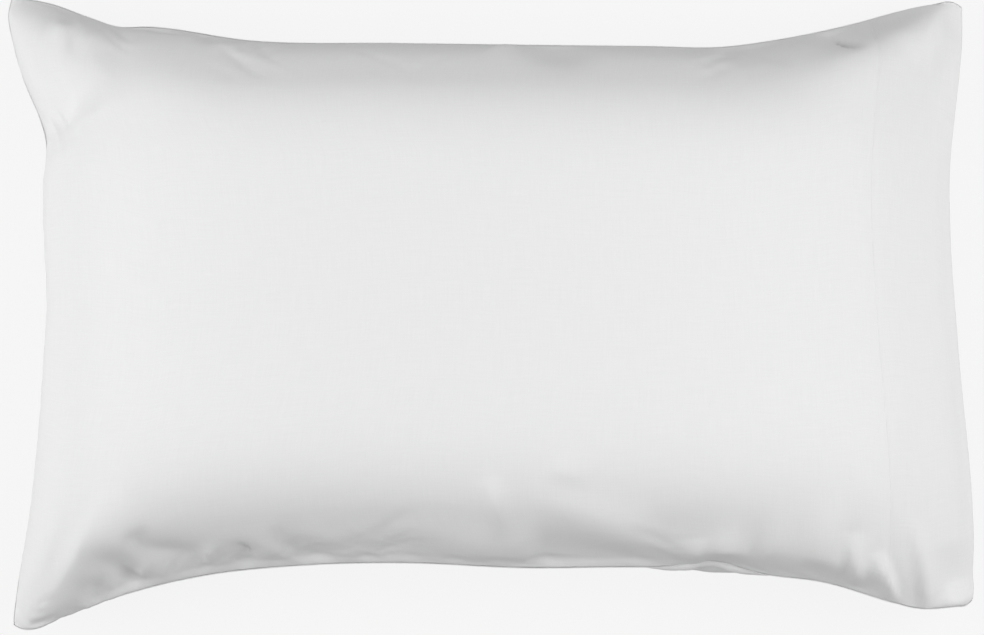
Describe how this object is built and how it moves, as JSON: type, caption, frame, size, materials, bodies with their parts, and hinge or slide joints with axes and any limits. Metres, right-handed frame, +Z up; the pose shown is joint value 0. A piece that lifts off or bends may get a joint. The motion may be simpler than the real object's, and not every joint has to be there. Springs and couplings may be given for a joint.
{
  "type": "filled pillowcase",
  "caption": "Plain cotton pillowcase, filled and lying on its back, sewn on three sides with an open hemmed mouth at one end.",
  "frame": {"origin": "centre of the footprint, on the surface that the case lies on", "axes": "+X out of the open mouth, +Y towards the upper long side, +Z up out of the front panel"},
  "size_m": [0.7478, 0.4921, 0.176],
  "materials": {
    "white_cotton": "plain-woven white cotton, matt and smooth, with a fine even weave"
  },
  "bodies": {
    "root": {"pillowcase": "white_cotton"}
  },
  "joints": []
}
